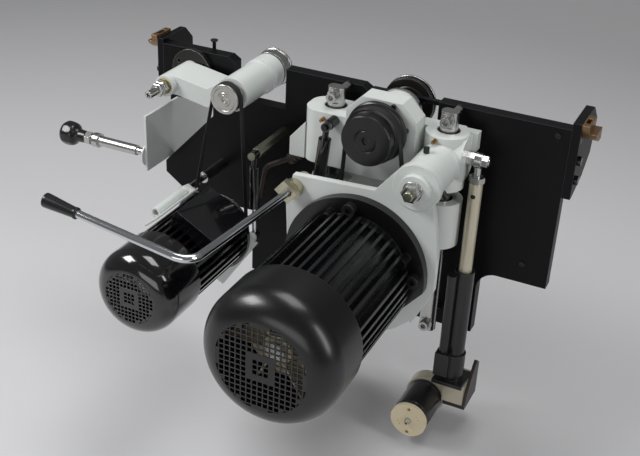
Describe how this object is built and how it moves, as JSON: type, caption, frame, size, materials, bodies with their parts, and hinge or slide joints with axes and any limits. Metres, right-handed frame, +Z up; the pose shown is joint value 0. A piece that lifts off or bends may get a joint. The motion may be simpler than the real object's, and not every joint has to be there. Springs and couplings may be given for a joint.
{
  "type": "sliding table saw unit",
  "caption": "Saw unit of a sliding table saw: main saw on a lifting carriage and scoring saw, on one tilting frame plate",
  "frame": {"origin": "On the tilt axis, half way between the outer faces of the two end plates: the common centre of the two bronze trunnion segments. It lies 40 mm behind the frame plate's front face, in the saw blade's plane, 22 mm over the plate's top edge.", "axes": "+X to the right along the frame plate and along the tilt axis, +Y from the motors to the plate and on to the blade side, +Z up at zero tilt."},
  "size_m": [1.01, 0.687, 0.62],
  "materials": {
    "black_coat": "satin black powder coat on ground plate",
    "white_coat": "off-white paint on cast iron, light orange peel",
    "gloss_black": "gloss black paint",
    "satin_black": "satin black paint",
    "zinc": "bright zinc plate",
    "yellow_zinc": "yellow passivated zinc",
    "olive_zinc": "olive passivated zinc",
    "chrome": "polished",
    "ground_steel": "ground and oiled",
    "gunmetal": "blackened, turned",
    "dark_steel": "black oxide",
    "brown_steel": "dark brown oxide",
    "bronze": "cast, machined faces",
    "brass": "turned, tarnished",
    "copper": "enamelled windings in iron",
    "aluminium": "turned",
    "rubber": "ribbed belt",
    "black_plastic": "moulded",
    "cream_coat": "cream paint",
    "cream_plastic": "moulded"
  },
  "bodies": {
    "frame": {"frame_plate": "black_coat", "notch_strip": "black_coat", "left_end_plate": "black_coat", "right_end_plate": "black_coat", "trunnion_segments": "bronze", "frame_fixings": "zinc", "guide_columns": "ground_steel", "scoring_disc": "gunmetal", "scoring_pivot": "ground_steel", "scoring_bracket": "white_coat", "gas_standoff": "olive_zinc", "hinge_pin": "ground_steel", "lift_foot": "brown_steel", "lift_tubes": "dark_steel", "lift_collar": "dark_steel", "lift_gearbox": "cream_coat", "lift_motor": "dark_steel", "lift_motor_cap": "cream_plastic", "scoring_belt": "rubber"},
    "lift_screw": {"lift_screw": "ground_steel"},
    "knob": {"knob_grip": "black_plastic", "knob_spindle": "zinc"},
    "carriage": {"carriage": "white_coat", "carriage_fittings": "brass", "guide_bushes": "black_plastic", "arbor_bearings": "ground_steel", "swivel_stud": "olive_zinc", "drive_belt": "rubber", "stay_pipe": "brown_steel", "lift_rod": "cream_coat", "lift_eye": "zinc"},
    "belt_spring": {"belt_spring": "gloss_black"},
    "belt_spring_rod": {"belt_spring_rod": "chrome"},
    "arbor": {"arbor_shaft": "ground_steel", "blade_flanges": "gunmetal", "arbor_pulley": "satin_black"},
    "motor_mount": {"motor_plate": "white_coat", "motor_flange": "satin_black", "motor_body": "satin_black", "motor_stator": "copper", "motor_cowl": "satin_black", "motor_bolts": "dark_steel"},
    "motor_rotor": {"motor_rotor": "ground_steel", "motor_pulley": "aluminium", "motor_fan": "cream_plastic"},
    "lever": {"lever_shaft": "yellow_zinc", "lever_rod": "chrome", "lever_grip": "black_plastic"},
    "scoring_arm": {"scoring_arm": "white_coat"},
    "scoring_arbor": {"scoring_shaft": "ground_steel", "scoring_flange": "gunmetal", "scoring_pulley": "aluminium"},
    "scoring_motor": {"scoring_mount": "white_coat", "scoring_motor": "gloss_black", "scoring_cowl": "gloss_black", "terminal_box": "gloss_black"},
    "scoring_rotor": {"scoring_rotor": "ground_steel", "scoring_fan": "cream_plastic"},
    "scoring_spring": {"scoring_spring": "gloss_black"},
    "scoring_spring_rod": {"scoring_spring_rod": "chrome"}
  },
  "joints": [
    {"name": "carriage_lift", "type": "slide", "parent": "frame", "child": "carriage", "axis": [0, 0, 1], "range_m": [-0.11, 0]},
    {"name": "lift_screw_spin", "type": "hinge", "parent": "frame", "child": "lift_screw", "pos_m": [0.2535, -0.094, -0.422], "axis": [0, 0, 1], "range_deg": [-9910, 0]},
    {"name": "motor_swivel", "type": "hinge", "parent": "carriage", "child": "motor_mount", "pos_m": [0.1961, -0.224, -0.0905], "axis": [0, 1, 0], "range_deg": [0, 4], "deforming": ["drive_belt"]},
    {"name": "lever_turn", "type": "hinge", "parent": "motor_mount", "child": "lever", "pos_m": [-0.0135, -0.224, -0.1425], "axis": [0, 1, 0], "range_deg": [-56, 0]},
    {"name": "motor_spin", "type": "hinge", "parent": "motor_mount", "child": "motor_rotor", "pos_m": [0.105, -0.34, -0.2525], "axis": [0, 1, 0], "continuous": true},
    {"name": "arbor_spin", "type": "hinge", "parent": "carriage", "child": "arbor", "pos_m": [0.0942, -0.11, -0.047], "axis": [0, 1, 0], "continuous": true},
    {"name": "belt_spring_tilt", "type": "hinge", "parent": "carriage", "child": "belt_spring", "pos_m": [0.0095, -0.165, -0.0538], "axis": [0, 1, 0], "range_deg": [-0.3, 4.06]},
    {"name": "belt_spring_stroke", "type": "slide", "parent": "belt_spring", "child": "belt_spring_rod", "axis": [-0.0937, 0, -0.9956], "range_m": [-0.0142, 0]},
    {"name": "scoring_swing", "type": "hinge", "parent": "frame", "child": "scoring_arm", "pos_m": [-0.3215, -0.09, -0.06], "axis": [0, 1, 0], "range_deg": [-3, 3]},
    {"name": "scoring_spin", "type": "hinge", "parent": "scoring_arm", "child": "scoring_arbor", "pos_m": [-0.1825, -0.09, -0.046], "axis": [0, 1, 0], "continuous": true},
    {"name": "scoring_motor_swing", "type": "hinge", "parent": "frame", "child": "scoring_motor", "pos_m": [-0.2615, -0.22, -0.239], "axis": [0, 1, 0], "range_deg": [-3, 0], "deforming": ["scoring_belt"]},
    {"name": "scoring_motor_spin", "type": "hinge", "parent": "scoring_motor", "child": "scoring_rotor", "pos_m": [-0.1995, -0.29, -0.299], "axis": [0, 1, 0], "continuous": true},
    {"name": "scoring_spring_tilt", "type": "hinge", "parent": "frame", "child": "scoring_spring", "pos_m": [-0.1275, -0.16, -0.14], "axis": [0, 1, 0], "range_deg": [-1.45, 0.3]},
    {"name": "scoring_spring_stroke", "type": "slide", "parent": "scoring_spring", "child": "scoring_spring_rod", "axis": [0.019, 0, -0.9998], "range_m": [-0.0082, 0]},
    {"name": "knob_turn", "type": "hinge", "parent": "frame", "child": "knob", "pos_m": [-0.4875, -0.097, -0.225], "axis": [1, 0, 0], "range_deg": [-1080, 1080]}
  ],
  "couplings": [
    {"joint": "lift_screw_spin", "follows": "carriage_lift", "rad_per_m": 1570.8},
    {"joint": "lever_turn", "follows": "motor_swivel", "ratio": -14},
    {"joint": "arbor_spin", "follows": "motor_spin", "ratio": 1.444},
    {"joint": "belt_spring_tilt", "follows": "motor_swivel", "ratio": 0.941},
    {"joint": "belt_spring_stroke", "follows": "motor_swivel", "m_per_rad": -0.1897},
    {"joint": "scoring_spin", "follows": "scoring_motor_spin", "ratio": 2.1923},
    {"joint": "scoring_spring_tilt", "follows": "scoring_motor_swing", "ratio": 0.3845},
    {"joint": "scoring_spring_stroke", "follows": "scoring_motor_swing", "m_per_rad": 0.13682}
  ]
}
